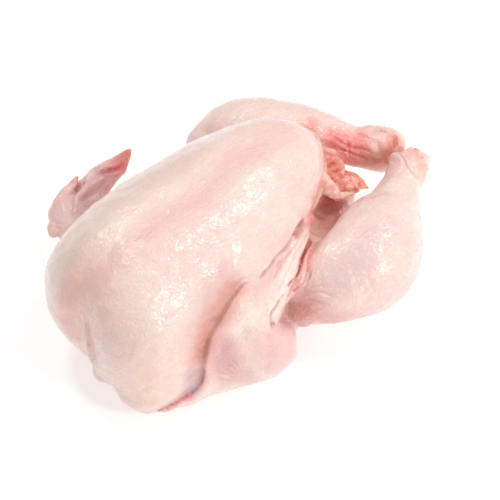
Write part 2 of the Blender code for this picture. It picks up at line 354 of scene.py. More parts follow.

# Colour of the skin. Each row is a mask, its reach in millimetres, its strength, and a path or
# a spot. Rows that paint shade or light say so above them; the crease mask is partly painted shade
# in the bottoms of folds.
PAINT = [
    # Over the breast bone
    ("pink", 13, 0.6, [
        (-96, -12, 98), (-68, -6, 100), (-41, -8, 101), (-3, 1, 100), (16, 2, 99), (50, 7, 94),
    ]),
    ("pink", 9, 0.5, [(-50, -9, 101), (-41, -8, 101), (-28, -7, 101)]),
    # Neck end, and painted shade over the far side of the breast, which faces away from the lights
    ("pink", 20, 0.5, [(-109, -10, 91), (-117, -18, 86), (-122, -24, 76), (-127, -18, 56)]),
    ("pink", 20, 0.95, [(-117, -6, 83), (-124, -4, 70), (-126, 0, 56)]),
    # Painted shade in the crevice of the crop fold
    ("bruise", 7, 0.4, [(-127, -20, 66), (-129, -22, 56), (-129, -24, 48), (-129, -26, 38)]),
    ("pink", 14, 0.8, [(-128, -12, 52), (-127, -10, 42)]),
    ("crease", 1.6, 0.3, [(-123, -2, 38), (-125, -7, 39), (-128, -15, 46)]),
    # Painted shade: the far side of the breast made darker and duller
    ("beige", 36, 0.9, [(-116, 14, 84), (-100, 34, 76), (-70, 40, 84), (-30, 40, 88)]),
    # Front of the near breast, down to where the wing lies on it
    ("fat", 26, 0.9, [(-113, -59, 38), (-104, -62, 42), (-94, -60, 50)]),
    ("fat", 18, 0.5, [(-119, -46, 60), (-118, -46, 34)]),
    ("mauve", 14, 0.3, [(-118, -38, 66), (-120, -36, 48)]),
    ("fat", 16, 0.6, [(-120, -38, 46), (-119, -40, 28)]),
    ("mauve", 10, 1.0, [(-86, -63, 38), (-84, -63, 29), (-89, -63, 22)]),
    # Painted shade, orange-brown, in the pocket under the wing edge
    ("flesh", 5, 0.6, [(-71, -60, 60), (-76, -61, 54)]),
    ("flesh", 10, 0.9, [(-79, -61, 51), (-82, -61, 46)]),
    ("dark", 5, 0.3, [(-77, -62, 52), (-80, -63, 46)]),
    # A band of painted shade on the breast beside the wing edge: tan, with a mauve band over it
    ("flesh", 11, 0.5, [
        (-48, -54, 74), (-58, -56, 70), (-67, -59, 65), (-75, -60, 59), (-80, -61, 52),
    ]),
    ("bruise", 16, 0.3, [(-50, -50, 78), (-62, -53, 73), (-74, -56, 65), (-82, -58, 58)]),
    ("crease", 1.2, 0.8, [
        (-79, -65, 33), (-83, -67, 24), (-89, -66, 19), (-97, -64, 16), (-104, -62, 14),
        (-110, -60, 13),
    ]),
    # Near wing: upper arm, elbow and wrist
    ("bruise", 12, 0.5, [(-70, -66, 50), (-69, -68, 43), (-68, -70, 37)]),
    # Pale cream on the upper arm: partly the cream of the wing, partly painted light where it
    # falls in shade
    ("pale", 11, 0.7, [(-57, -69, 53), (-49, -69, 60), (-43, -68, 62)]),
    ("red", 4.5, 0.6, [(-90, -65, 15), (-102, -61, 11)]),
    ("mauve", 14, 1.0, [(-67, -68, 46), (-67, -71, 35)]),
    ("pink", 16, 0.9, [(-72, -66, 50), (-68, -68, 40), (-66, -73, 28)]),
    ("pink", 11, 0.6, [
        (-44, -59, 69), (-56, -60, 65), (-68, -62, 56), (-77, -65, 42), (-79, -66, 28),
    ]),
    ("pink", 17, 0.6, [(-30, -84, 30), (-24, -84, 20)]),
    ("mauve", 22, 0.8, [(-36, -83, 36), (-26, -85, 26)]),
    ("pink", 12, 0.6, [(-18, -82, 32), (-17, -82, 26)]),
    ("pink", 22, 0.7, [(-40, -80, 40), (-30, -83, 28)]),
    ("pink", 10, 0.7, [(-41, -60, 70), (-34, -62, 67)]),
    ("mauve", 9, 0.35, [(-64, -74, 26), (-56, -78, 18)]),
    # Near wing: hand and second digit
    ("pale", 6, 0.9, [
        (-40, -74, 52), (-32, -69, 56), (-24, -65, 59), (-14, -60, 63), (-4, -55, 65),
        (8, -49, 67),
    ]),
    ("pale", 14, 0.4, [(-49, -71, 57), (-52, -75, 44)]),
    ("pink", 7, 1.0, [
        (22, -45, 57), (15, -50, 59), (8, -57, 60), (1, -62, 58), (-6, -65, 54), (-11, -65, 50),
    ]),
    ("red", 4, 0.45, [(20, -46, 58), (14, -51, 59), (8, -57, 60), (3, -61, 58)]),
    ("red", 3, 0.45, [(24, -42, 64), (17, -47, 63), (10, -51, 62), (3, -55, 62), (-4, -59, 61)]),
    ("pink", 5, 0.8, [(16, -43, 70), (6, -47, 69), (-6, -51, 68), (-18, -55, 66), (-30, -59, 66)]),
    ("red", 1.6, 0.3, [
        (-22, -65, 62), (-12, -60, 64), (-2, -55, 66), (8, -51, 67), (18, -46, 67),
    ]),
    ("red", 1.8, 0.3, [
        (-24, -69, 52), (-17, -67, 53), (-10, -66, 54), (-3, -63, 58), (5, -58, 60),
    ]),
    ("fat", 6, 0.8, [(-14, -66, 50), (-20, -68, 49), (-26, -71, 49), (-33, -76, 50)]),
    ("red", 7, 1.0, [(30, -37, 66), (25, -41, 67), (19, -45, 62)]),
    ("crease", 1.5, 0.8, [
        (22, -44, 55), (17, -48, 57), (10, -52, 60), (5, -55, 60), (1, -58, 59), (-4, -61, 59),
        (-10, -64, 60), (-15, -66, 61),
    ]),
    ("crease", 1.2, 0.5, [
        (-22, -69, 60), (-26, -70, 59), (-30, -71, 57), (-34, -72, 56), (-36, -74, 53),
        (-36, -76, 49),
    ]),
    ("crease", 1.3, 0.5, [
        (13, -54, 59), (8, -58, 60), (4, -62, 59), (0, -66, 57), (-3, -66, 54), (-7, -67, 54),
        (-11, -67, 53),
    ]),
    ("crease", 1.2, 0.5, [
        (-28, -55, 68), (-19, -52, 67), (-12, -50, 69), (-3, -48, 69), (4, -46, 71),
        (11, -44, 73), (16, -42, 73),
    ]),
    # Painted shade in the hollow at the end of the hand line
    ("dark", 3.2, 0.9, [(8, -46, 71), (13, -44, 72), (17, -42, 72)]),
    # Near thigh and drumstick
    ("mauve", 15, 0.6, [(12, -79, 60), (18, -80, 62), (28, -78, 66)]),
    ("mauve", 13, 0.4, [(40, -78, 66), (52, -72, 64), (60, -84, 56)]),
    ("mauve", 12, 0.3, [(36, -54, 60), (56, -51, 56)]),
    ("fat", 26, 0.4, [(8, -96, 42), (24, -100, 44), (40, -102, 48)]),
    ("pink", 12, 0.6, [(0, -74, 48), (-8, -70, 40)]),
    # Painted shade in the flank hollow under the thigh edge
    ("dark", 9, 0.35, [(34, -40, 49), (44, -35, 47), (54, -29, 45)]),
    # Painted shade under the frill, on the front of the thigh where it turns under
    ("bruise", 13, 0.6, [(-22, -72, 39), (-14, -71, 43), (-8, -74, 44), (-12, -78, 38)]),
    ("dark", 8, 0.45, [(-21, -72, 40), (-14, -72, 42), (-10, -75, 41)]),
    ("flesh", 16, 0.45, [(-10, -74, 40), (-2, -82, 34), (8, -90, 30)]),
    ("mauve", 16, 0.9, [(-4, -80, 30), (10, -88, 30), (24, -96, 30)]),
    ("mauve", 22, 0.4, [(76, -84, 44), (56, -96, 40), (40, -102, 40)]),
    # Far leg and its hock
    ("pink", 24, 0.3, [(70, 40, 62), (84, 22, 58)]),
    ("pink", 10, 0.8, [(80, 20, 60), (76, 16, 60)]),
    ("pink", 16, 0.5, [(30, 60, 60)]),
    ("red", 11, 1.0, [(85, 6, 57), (92, 0, 54), (97, -6, 53)]),
    ("crease", 1.4, 0.35, [(85, 9, 56), (88, 2, 54), (92, -4, 51), (97, -10, 51), (101, -16, 50)]),
    ("crease", 1.4, 0.35, [(84, 3, 51), (88, -2, 49), (92, -8, 47), (96, -14, 46)]),
    ("crease", 1.3, 0.35, [(60, -5, 75), (66, -11, 69), (72, -12, 62), (79, -9, 56)]),
    ("red", 13, 0.6, [(92, -4, 46), (84, -2, 44)]),
    ("flesh", 12, 0.7, [(98, -14, 46), (102, -20, 46)]),
    ("fat", 8, 0.6, [(103, -8, 56), (106, -14, 55)]),
    ("red", 7, 0.8, [(62, -9, 71), (67, -12, 67), (73, -11, 61), (80, -7, 55)]),
    ("flesh", 11, 1.0, [(112, -20, 52), (106, -22, 50), (100, -20, 46)]),
    ("red", 5, 0.5, [(113, -20, 53), (109, -23, 51)]),
    ("flesh", 9, 0.3, [(107, -1, 57), (112, -8, 57), (116, -13, 56)]),
    ("crease", 2.5, 0.7, [(117, -17, 55), (114, -21, 54)]),
    ("crease", 1.5, 0.6, [(112, -9, 57), (114, -11, 57)]),
    # Near hock
    ("pink", 14, 0.6, [(96, -42, 62), (106, -40, 63)]),
    ("flesh", 7, 0.35, [(111, -38, 64), (110, -46, 63), (107, -55, 56)]),
    ("fat", 11, 0.6, [(109, -36, 65), (109, -44, 64), (107, -52, 58)]),
    ("red", 1.8, 0.8, [(112, -40, 65)]),
    ("red", 1.5, 0.8, [(112, -45, 63)]),
    ("red", 2.2, 0.7, [(113, -49, 58)]),
    ("crease", 1.4, 0.5, [
        (107, -25, 50), (104, -32, 60), (103, -38, 63), (100, -46, 63), (100, -53, 60),
    ]),
    # Tail end of the breast, and the vent
    ("flesh", 10, 0.75, [
        (75, 18, 62), (63, 2, 78), (61, -8, 78), (56, -16, 77), (50, -24, 74), (43, -30, 73),
        (34, -34, 72),
    ]),
    ("flesh", 20, 1.0, [(70, -4, 56), (80, -10, 44), (66, -20, 48)]),
    ("red", 12, 0.6, [(60, -24, 47), (50, -29, 48)]),
    ("flesh", 18, 0.6, [(60, -24, 40), (46, -31, 47)]),
    ("fat", 12, 0.8, [(40, -35, 48), (32, -40, 50), (26, -44, 52)]),
    # Painted shade deep in the vent
    ("dark", 14, 0.5, [(72, -2, 58), (64, 6, 56)]),
    # Far wing
    ("mauve", 20, 0.35, [(-84, 78, 26), (-76, 84, 30), (-66, 88, 32)]),
    ("bruise", 12, 0.75, [(-32, 88, 29), (-44, 85, 30), (-54, 82, 31), (-62, 77, 33)]),
    ("mauve", 9, 0.5, [(-40, 92, 33), (-54, 90, 34), (-64, 86, 34)]),
    ("bruise", 7, 1.0, [(-34, 94, 33), (-27, 92, 32), (-20, 92, 30)]),
    ("crease", 1.8, 0.5, [(-34, 95, 33), (-28, 93, 33), (-22, 92, 31)]),
    ("pale", 4, 0.8, [(-30, 90, 31), (-36, 91, 33), (-46, 91, 34)]),
    ("pink", 10, 0.55, [(-86, 84, 26), (-80, 91, 28), (-70, 94, 32), (-40, 98, 32)]),
    ("red", 10, 1.0, [(-22, 94, 32), (-12, 97, 32)]),
    ("dark", 8, 0.4, [(-18, 95, 32), (-10, 97, 32)]),
    ("red", 4, 0.9, [(-54, 99, 36), (-48, 100, 37)]),
    ("crease", 2, 0.8, [(-49, 95, 35), (-55, 92, 34)]),
    # Where the feather follicles show
    ("dots", 34, 1.0, [(14, -84, 56), (50, -84, 60), (80, -62, 60)]),
    ("dots", 22, 0.8, [(-116, -54, 40), (-96, -60, 46)]),
    ("dots", 20, 0.5, [(-100, 40, 70), (-60, 50, 76)]),
    ("dots", 22, 0.5, [(50, 56, 66), (70, 40, 62)]),
]

# Where the camera looks, in millimetres, and the soft lights: azimuth, elevation, size, watts
LOOK_AT = (-8.66, -23.13, 47.09)
SENSOR_WIDTH = 36
LIGHT_DISTANCE = 1.0
FLOOR_SIZE = 8
FLOOR_DROP = 0.5
SKY = "#fbfcff"
WORLD_LIGHT = 0.52
FLOOR_GLOW = 0.3
LIGHTS = {
    "back_softbox": (180, 56, 0.2, 1.8),
    "side_softbox": (68, 62, 0.19, 2.6),
    "front_softbox": (14, 34, 0.2, 2.8),
    "left_softbox": (-100, 50, 0.8, 0.8),
}


def linear(hex_colour):
    """The linear RGBA of an sRGB hex colour."""
    parts = [int(hex_colour[i : i + 2], 16) / 255 for i in (1, 3, 5)]
    return (*(c / 12.92 if c <= 0.04045 else ((c + 0.055) / 1.055) ** 2.4 for c in parts), 1)


def colour(name, description, default):
    return bpy.props.FloatVectorProperty(
        name=name,
        description=description,
        default=linear(default),
        subtype="COLOR",
        size=4,
        min=0,
        max=1,
    )


def length(name, description, default):
    return bpy.props.FloatProperty(
        name=name,
        description=description,
        default=default * MM,
        subtype="DISTANCE",
        unit="LENGTH",
        min=0,
    )


class ChickenSkinSettings(bpy.types.PropertyGroup):
    """Sizes and colours of the skin."""

    rough_step: length("Rough step", "Length of one face of the solid as it is smoothed", 1.3)
    fine_step: length("Fine step", "Length of one face of the skin as its folds are made", 0.85)
    most_triangles: bpy.props.IntProperty(
        name="Most triangles",
        description="Triangles that the finished skin keeps",
        default=190000,
        min=1000,
    )
    smoothing: bpy.props.IntProperty(
        name="Smoothing",
        description="Passes that take the facets off the solid",
        default=14,
        min=0,
    )
    swell: length("Swell", "Height of the broad unevenness of flesh under the skin", 0.7)
    pucker: length("Pucker", "Height of the fine unevenness of the skin", 0.22)
    follicle_gap: length("Follicle spacing", "Distance between the feather follicles", 4.4)
    skin: colour("Skin", "Skin over breast meat", "#f1dbcf")
    pink: colour("Pink skin", "Skin with blood close under it", "#f1c0b8")
    red: colour("Red skin", "Skin full of blood", "#ee807c")
    mauve: colour("Mauve skin", "Thin skin over dark leg meat", "#dcbcc4")
    # Also laid on as painted shade in the crop fold, beside the near wing edge and under the frill
    bruise: colour("Bruised skin", "Thin skin with dark blood under it", "#c08288")
    fat: colour("Fat", "Skin over yellow fat", "#f8d6c2")
    # Also laid on as painted light on the upper arm of the near wing
    pale: colour("Pale skin", "Skin stretched over bone", "#f8e6da")
    # Painted shade for the far side of the breast, which faces away from the lights
    beige: colour("Beige skin", "Dull skin on the far side of the breast", "#e6cbbd")
    # Also laid on as painted shade in the pocket and the band beside the near wing, and under the
    # thigh
    flesh: colour("Cut flesh", "Bare flesh and torn skin", "#e08d74")
    # Painted shade: deep red-brown laid into the pocket by the wing, the hollows, the vent, the
    # flank and under the thigh. It also darkens the far wing tip.
    dark: colour("Deep flesh", "Flesh deep inside the folds", "#b4685a")
    # Dark red in the bottoms of tight folds: partly the red of the skin there, partly painted
    # shade
    crease: colour("Crease", "Wet bottom of a tight fold", "#b83e2e")


class ChickenDetailSettings(bpy.types.PropertyGroup):
    """Sizes and colours of the loose pieces."""

    cartilage: colour("Cartilage", "Cut ends of the leg bones", "#f3ddcd")
    marrow: colour("Marrow", "Middle of the cut bones", "#b8695a")
    loose: colour("Loose skin", "Thick leaves of skin at the vent", "#f9cfc0")
    flap: colour("Inner skin", "Bare side of the thin leaves of skin", "#f0a795")
    torn: colour("Torn skin", "Blood-stained places on the thin leaves", "#c8624e")


class ChickenStudioSettings(bpy.types.PropertyGroup):
    """Camera and floor."""

    floor: colour("Floor", "Plain pale floor", "#f7f7f7")
    azimuth: bpy.props.FloatProperty(
        name="Azimuth",
        description="Camera's turn from the front",
        default=math.radians(-40),
        subtype="ANGLE",
    )
    elevation: bpy.props.FloatProperty(
        name="Elevation",
        description="Camera's height above the level",
        default=math.radians(52),
        subtype="ANGLE",
    )
    distance: length("Distance", "From the camera to what it looks at", 968.2)
    lens: bpy.props.FloatProperty(
        name="Lens", description="Focal length in millimetres", default=114.84, min=1
    )


def deselect_all():
    for piece in bpy.context.selected_objects:
        piece.select_set(False)


def copy_of_node(node, name):
    """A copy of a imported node, with its loose triangles merged, as a piece of its own."""
    deselect_all()
    source = frame["nodes"][node]
    source.select_set(True)
    bpy.context.view_layer.objects.active = source
    bpy.ops.object.duplicate()
    piece = bpy.context.active_object
    bpy.ops.object.parent_clear(type="CLEAR_KEEP_TRANSFORM")
    for key in list(piece.keys()):
        del piece[key]
    piece.name = piece.data.name = name
    bpy.ops.object.mode_set(mode="EDIT")
    bpy.ops.mesh.select_all(action="SELECT")
    bpy.ops.mesh.remove_doubles(threshold=MERGE_DISTANCE)
    bpy.ops.object.mode_set(mode="OBJECT")
    if piece.data.has_custom_normals:
        bpy.ops.mesh.customdata_custom_splitnormals_clear()
    return piece


def apply_modifier(piece, kind, **settings):
    modifier = piece.modifiers.new(kind.lower(), kind)
    for key, value in settings.items():
        setattr(modifier, key, value)
    bpy.context.view_layer.objects.active = piece
    bpy.ops.object.modifier_apply(modifier=modifier.name)


def recalculate_normals(piece):
    bpy.context.view_layer.objects.active = piece
    bpy.ops.object.mode_set(mode="EDIT")
    bpy.ops.mesh.select_all(action="SELECT")
    bpy.ops.mesh.normals_make_consistent(inside=False)
    bpy.ops.object.mode_set(mode="OBJECT")


def points_of(mesh):
    flat = np.empty(len(mesh.vertices) * 3)
    mesh.vertices.foreach_get("co", flat)
    return flat.reshape(-1, 3) / MM


def normals_of(mesh):
    flat = np.empty(len(mesh.vertices) * 3)
    mesh.vertex_normals.foreach_get("vector", flat)
    return flat.reshape(-1, 3)


def move_points(mesh, points):
    mesh.vertices.foreach_set("co", (points * MM).ravel())
    mesh.update()


def curve_through(path, steps=5):
    """More points between the path's own, on a Catmull-Rom curve."""
    rows = [np.array(row, float) for row in path]
    if len(rows) == 1:
        return np.array([rows[0], rows[0] + 1e-3])
    rows = [2 * rows[0] - rows[1]] + rows + [2 * rows[-1] - rows[-2]]
    track = []
    for a, b, c, d in zip(rows, rows[1:], rows[2:], rows[3:]):
        for t in np.arange(steps) / steps:
            bend = (2 * a - 5 * b + 4 * c - d) * t**2
            track.append(0.5 * (2 * b + (c - a) * t + bend + (3 * b - a - 3 * c + d) * t**3))
    return np.array(track + [rows[-2]])


def stretch_along(piece, path, half_widths, half_depths, facing, wave=0.0):
    """Draws a unit sphere out along a path, like a finger of flesh, with its poles at the ends.

    The wave makes its edges uneven, as a share of their width.
    """
    mesh = piece.data
    points = points_of(mesh) * MM
    track = curve_through(path, FINGER_STEPS)
    run = np.concatenate([[0], np.cumsum(np.linalg.norm(np.diff(track, axis=0), axis=1))])
    share = (1 + np.clip(points[:, 2], -1, 1)) / 2
    stations = np.linspace(0, 1, len(half_widths))
    done = share * run[-1]
    centre, ahead, behind = (
        np.stack([np.interp(done + move, run, track[:, k]) for k in range(3)], axis=1)
        for move in (0, 1, -1)
    )
    along = ahead - behind
    along /= np.linalg.norm(along, axis=1)[:, None]
    side = np.cross(along, np.array(facing, float))
    side /= np.linalg.norm(side, axis=1)[:, None]
    top = np.cross(side, along)
    turn = np.arctan2(points[:, 1], points[:, 0])
    round_end = np.sqrt(np.clip(1 - np.clip(np.abs(points[:, 2]), 0, 1) ** END_ROUNDNESS, 0, 1))
    width = np.interp(share, stations, half_widths) * round_end
    depth = np.interp(share, stations, half_depths) * round_end
    slow, quick, up_down = WAVES
    width = width * (1 + wave * np.sin(share * slow + turn) * np.cos(share * quick))
    lift = wave * WAVE_LIFT * np.sin(share * up_down + 0.5) * np.cos(turn) ** 2
    across = (width * np.cos(turn))[:, None]
    up = (depth * np.sin(turn) + lift)[:, None]
    move_points(mesh, centre + side * across + top * up)


def along_path(points, normals, path, reach):
    """The points within reach of the path, how far each is, on which side, and how far along.

    Depth under the surface counts for less than distance on it, so a path may lie a little deep.
    """
    track = curve_through(path)
    low, high = track.min(axis=0) - reach - DEPTH_SLACK, track.max(axis=0) + reach + DEPTH_SLACK
    chosen = np.flatnonzero(((points > low) & (points < high)).all(axis=1))
    near = points[chosen]
    gap = np.full(len(chosen), np.inf)
    side = np.zeros(len(chosen))
    run = np.zeros(len(chosen))
    done = 0.0
    for start, end in zip(track, track[1:]):
        step = end - start
        size = np.linalg.norm(step)
        share = np.clip((near - start) @ step / size**2, 0, 1)
        away = near - start - share[:, None] * step
        depth = (away * normals[chosen]).sum(axis=1)
        over = np.minimum(np.abs(depth), DEPTH_SLACK)
        on_skin = np.maximum((away**2).sum(axis=1) - over**2, 0)
        distance = np.sqrt(on_skin + (DEPTH_WEIGHT * over) ** 2)
        closer = distance < gap
        gap = np.where(closer, distance, gap)
        across = np.cross(step / size, normals[chosen])
        side = np.where(closer, (away * across).sum(axis=1), side)
        run = np.where(closer, done + share * size, run)
        done += size
    inside = gap < reach
    return chosen[inside], gap[inside], side[inside], run[inside], done


def fade_ends(run, total, fade):
    return np.clip(np.minimum(run, total - run) / fade + END_SHARE, 0, 1)


def work_fold(points, normals, kind, width, height, path):
    """Moves the points near the path along their normals, the way that this kind of fold does."""
    reach = width * FOLD_REACH[kind]
    chosen, gap, side, run, total = along_path(points, normals, path, reach)
    middle = np.exp(-((gap / width) ** 2))
    if kind == "crease":
        lift = CREASE_LIP * np.exp(-(((gap - 2 * width) / width) ** 2)) - middle
    elif kind == "ridge":
        lift = middle
    elif kind == "dent":
        lift = -middle
    elif kind == "step":
        proud = np.exp(-((np.maximum(side, 0) / width) ** 2)) / (1 + np.exp(-side / STEP_EDGE))
        under = np.exp(-((side + STEP_UNDERCUT_PLACE) / STEP_UNDERCUT_WIDTH) ** 2)
        lift = proud - STEP_UNDERCUT * under
        lift *= np.clip(STEP_REACH - gap / width, 0, 1)
    else:
        # The gap between ripples drifts along the path, so that they don't look ruled.
        wave = RIPPLE_GAP + 0.6 * np.sin(run * 0.35)
        lift = np.sin(side / wave * math.tau + 1.3 * np.sin(run * 0.22)) * middle
    lift *= height * fade_ends(run, total, LONG_FADE if total > LONG_PATH else SHORT_FADE)
    points[chosen] += normals[chosen] * lift[:, None]


def noise_at(points, size, octaves=2, seed=0.0):
    """Smooth noise from about -1 to 1, with features of size millimetres."""
    offset = Vector((seed, seed * 0.37, -seed))
    return np.array(
        [
            noise.fractal(Vector(point) / size + offset, NOISE_ROUGHNESS, NOISE_STEP, octaves)
            for point in points
        ]
    )


def crumple(mesh, height, size):
    """Small uneven bumps all over a piece, in millimetres."""
    points = points_of(mesh)
    move_points(mesh, points + normals_of(mesh) * (height * noise_at(points, size))[:, None])


def painted(points, normals, mesh):
    """Adds each mask of PAINT to the mesh as a point attribute."""
    masks = {}
    for name, reach, strength, path in PAINT:
        mask = masks.setdefault(name, np.zeros(len(points)))
        chosen, gap, _, _, _ = along_path(points, normals, path, reach)
        weight = strength * (1 - (gap / reach) ** 2) ** PAINT_FALLOFF
        mask[chosen] = np.maximum(mask[chosen], weight)
    for name, mask in masks.items():
        attribute = mesh.attributes.new(name, "FLOAT", "POINT")
        attribute.data.foreach_set("value", mask.astype(np.float32))


class Tree:
    """A material's nodes: add() makes one, with its settings and links."""

    def __init__(self, name):
        self.material = bpy.data.materials.new(name)
        self.material.use_nodes = True
        self.nodes = self.material.node_tree.nodes
        self.links = self.material.node_tree.links
        self.shader = self.nodes["Principled BSDF"]

    def add(self, kind, inputs=(), output=0, **settings):
        node = self.nodes.new("ShaderNode" + kind)
        for key, value in settings.items():
            setattr(node, key, value)
        self.set(node, inputs)
        return node.outputs[output]

    def set(self, node, inputs):
        for key, value in dict(inputs).items():
            if isinstance(value, bpy.types.NodeSocket):
                self.links.new(value, node.inputs[key])
            else:
                node.inputs[key].default_value = value


# The painted masks from the lowest layer to the highest
MASKS = ("beige", "fat", "pale", "mauve", "pink", "bruise", "flesh", "red", "dark", "crease")

# Sizes of the clouds of colour in millimetres
BROAD_CLOUD = 34
BLOTCH = 9
GRAIN = 2.6

# Millimetres between the fine wrinkles, width of a skin cell, how far and how coarsely noise
# shakes them, and how deep they are in the skin and in the film of water over it
WRINKLE_GAP = 1.9
CELL_SIZE = 2.7
SHAKE = 4
SHAKE_SIZE = 7
WRINKLE_DEPTH = 0.7
WATER_DEPTH = 0.4


def raw_skin_material(settings):
    """Wet chicken skin, plucked: thin, half clear skin over meat and fat, with a moist shine.

    Light goes in and comes out a few millimetres away, so shadows are soft and pink. Feather
    follicles show as cream dots, and water lies in the fine wrinkles as small sharp lights.
    """
    tree = Tree("raw_chicken_skin")
    place = tree.add("TexCoord", output="Object")

    def cloud(size, detail=2.0, rough=0.5):
        return tree.add(
            "TexNoise",
            {"Vector": place, "Scale": 1 / (size * MM), "Detail": detail, "Roughness": rough},
            output="Fac",
        )

    def span(value, low, high, to_low=0.0, to_high=1.0):
        return tree.add(
            "MapRange",
            {
                "Value": value,
                "From Min": low,
                "From Max": high,
                "To Min": to_low,
                "To Max": to_high,
            },
            interpolation_type="SMOOTHSTEP",
        )

    def times(a, b):
        return tree.add("Math", {0: a, 1: b}, operation="MULTIPLY")

    def plus(a, b):
        return tree.add("Math", {0: a, 1: b}, operation="ADD")

    def blend(factor, below, above):
        return tree.add(
            "Mix", {"Factor": factor, 6: below, 7: above}, output=2, data_type="RGBA"
        )

    def mask(name):
        return tree.add("Attribute", output="Fac", attribute_name=name)

    # Broad clouds of pink, smaller blotches, and a fine grain break up the even colour.
    broad, middle, fine = cloud(BROAD_CLOUD), cloud(BLOTCH, 3.0), cloud(GRAIN, 3.0, 0.6)
    base = blend(span(broad, 0.42, 0.62, 0.0, 0.3), settings.skin[:], settings.pink[:])
    base = blend(span(middle, 0.45, 0.7, 0.0, 0.22), base, settings.pink[:])
    base = blend(span(fine, 0.5, 0.75, 0.0, 0.3), base, settings.pale[:])
    for name in MASKS:
        if name == "crease":
            uneven = span(fine, 0.35, 0.65, 0.6, 1.25)
        # The dark mask is painted shade, laid on evenly
        elif name == "dark":
            uneven = 1.0
        else:
            uneven = span(middle, 0.2, 0.8, 0.7, 1.25)
        base = blend(times(mask(name), uneven), base, getattr(settings, name)[:])

    # Follicles stand in rough rows, and show most on the legs and the lower breast.
    cells = tree.add(
        "TexVoronoi",
        {"Vector": place, "Scale": 1 / settings.follicle_gap, "Randomness": 0.7},
        output="Distance",
    )
    dot = span(cells, 0.12, 0.42, 1.0, 0.0)
    where = mask("dots")
    base = blend(times(times(dot, where), 0.5), base, settings.pale[:])
    rim = times(span(cells, 0.4, 0.7), mask("fat"))
    base = blend(times(rim, 0.4), base, settings.pink[:])

    # Fine wrinkles run along the body over a net of skin cells. Both are about twice as wide as
    # real ones, so that they show at this distance.
    shaken = tree.add(
        "TexNoise",
        {"Vector": place, "Scale": 1 / (SHAKE_SIZE * MM), "Detail": 2.0},
        output="Color",
    )
    shift = tree.add("VectorMath", {0: shaken, 1: (SHAKE * MM,) * 3}, operation="MULTIPLY")
    loose = tree.add("VectorMath", {0: place, 1: shift}, operation="ADD")
    turned = tree.add(
        "Mapping", {"Vector": loose, "Rotation": (0.0, 0.1, -0.25), "Scale": (0.28, 1.0, 0.7)}
    )
    wrinkle = tree.add(
        "TexNoise",
        {
            "Vector": turned,
            "Scale": 1 / (WRINKLE_GAP * MM),
            "Detail": 3.0,
            "Roughness": 0.6,
            "Distortion": 0.4,
        },
        output="Fac",
    )
    net = tree.add(
        "TexVoronoi",
        {"Vector": loose, "Scale": 1 / (CELL_SIZE * MM), "Randomness": 1.0},
        output="Distance",
        feature="DISTANCE_TO_EDGE",
    )
    cushion = span(net, 0.0, 0.3)
    # The edges of the skin cells and the bottoms of the wrinkles are painted pinker: partly the
    # pinker skin in them, partly painted shade in these grooves
    base = blend(times(span(net, 0.0, 0.16, 1.0, 0.0), 0.16), base, settings.pink[:])
    base = blend(span(wrinkle, 0.5, 0.3, 0.0, 0.3), base, settings.pink[:])
    height = plus(times(wrinkle, 0.85), times(cushion, 0.15))
    height = plus(height, times(fine, 0.3))
    height = plus(height, times(times(dot, where), 0.3))

    # The film of water on the skin fills its wrinkles, so its own surface is flatter.
    bump, film = (
        tree.add(
            "Bump", {"Height": height, "Strength": 1.0, "Distance": deep * MM}, output="Normal"
        )
        for deep in (WRINKLE_DEPTH, WATER_DEPTH)
    )
    wet = span(middle, 0.3, 0.7, 0.3, 0.44)
    tree.set(
        tree.shader,
        {
            "Base Color": base,
            "Roughness": wet,
            "Normal": bump,
            "IOR": 1.4,
            "Subsurface Weight": 0.3,
            "Subsurface Radius": (1.0, 0.36, 0.22),
            "Subsurface Scale": 1.8 * MM,
            "Specular IOR Level": 0.6,
            "Coat Weight": 0.7,
            "Coat Roughness": 0.12,
            "Coat IOR": 1.4,
            "Coat Normal": film,
        },
    )
    tree.shader.subsurface_method = "RANDOM_WALK"
    return tree.material


def wet_tissue_material(name, outer, inner, spot_size):
    """Fresh cut tissue: cream gristle or salmon skin with blood-stained spots, and a wet shine."""
    tree = Tree(name)
    place = tree.add("TexCoord", output="Object")
    cloud = tree.add(
        "TexNoise", {"Vector": place, "Scale": 1 / (spot_size * MM), "Detail": 3.0}, output="Fac"
    )
    share = tree.add(
        "MapRange",
        {"Value": cloud, "From Min": 0.35, "From Max": 0.8},
        interpolation_type="SMOOTHSTEP",
    )
    fine = tree.add(
        "TexNoise", {"Vector": place, "Scale": 1 / (GRAIN_SIZE * MM), "Detail": 3.0}, output="Fac"
    )
    base = tree.add("Mix", {"Factor": share, 6: outer, 7: inner}, output=2, data_type="RGBA")
    bump = tree.add(
        "Bump", {"Height": fine, "Strength": 0.5, "Distance": GRAIN_DEPTH * MM}, output="Normal"
    )
    tree.set(
        tree.shader,
        {
            "Base Color": base,
            "Roughness": 0.32,
            "Normal": bump,
            "IOR": 1.4,
            "Subsurface Weight": 0.3,
            "Subsurface Radius": (1.0, 0.4, 0.25),
            "Subsurface Scale": 2.5 * MM,
            "Coat Weight": 0.3,
            "Coat Roughness": 0.15,
            "Coat Normal": bump,
        },
    )
    return tree.material


def finish_piece(piece, material, *nodes):
    piece.data.materials.clear()
    piece.data.materials.append(material)
    deselect_all()
    piece.select_set(True)
    bpy.context.view_layer.objects.active = piece
    bpy.ops.object.shade_smooth()
    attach(piece, "root")
    if nodes:
        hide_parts(*nodes)


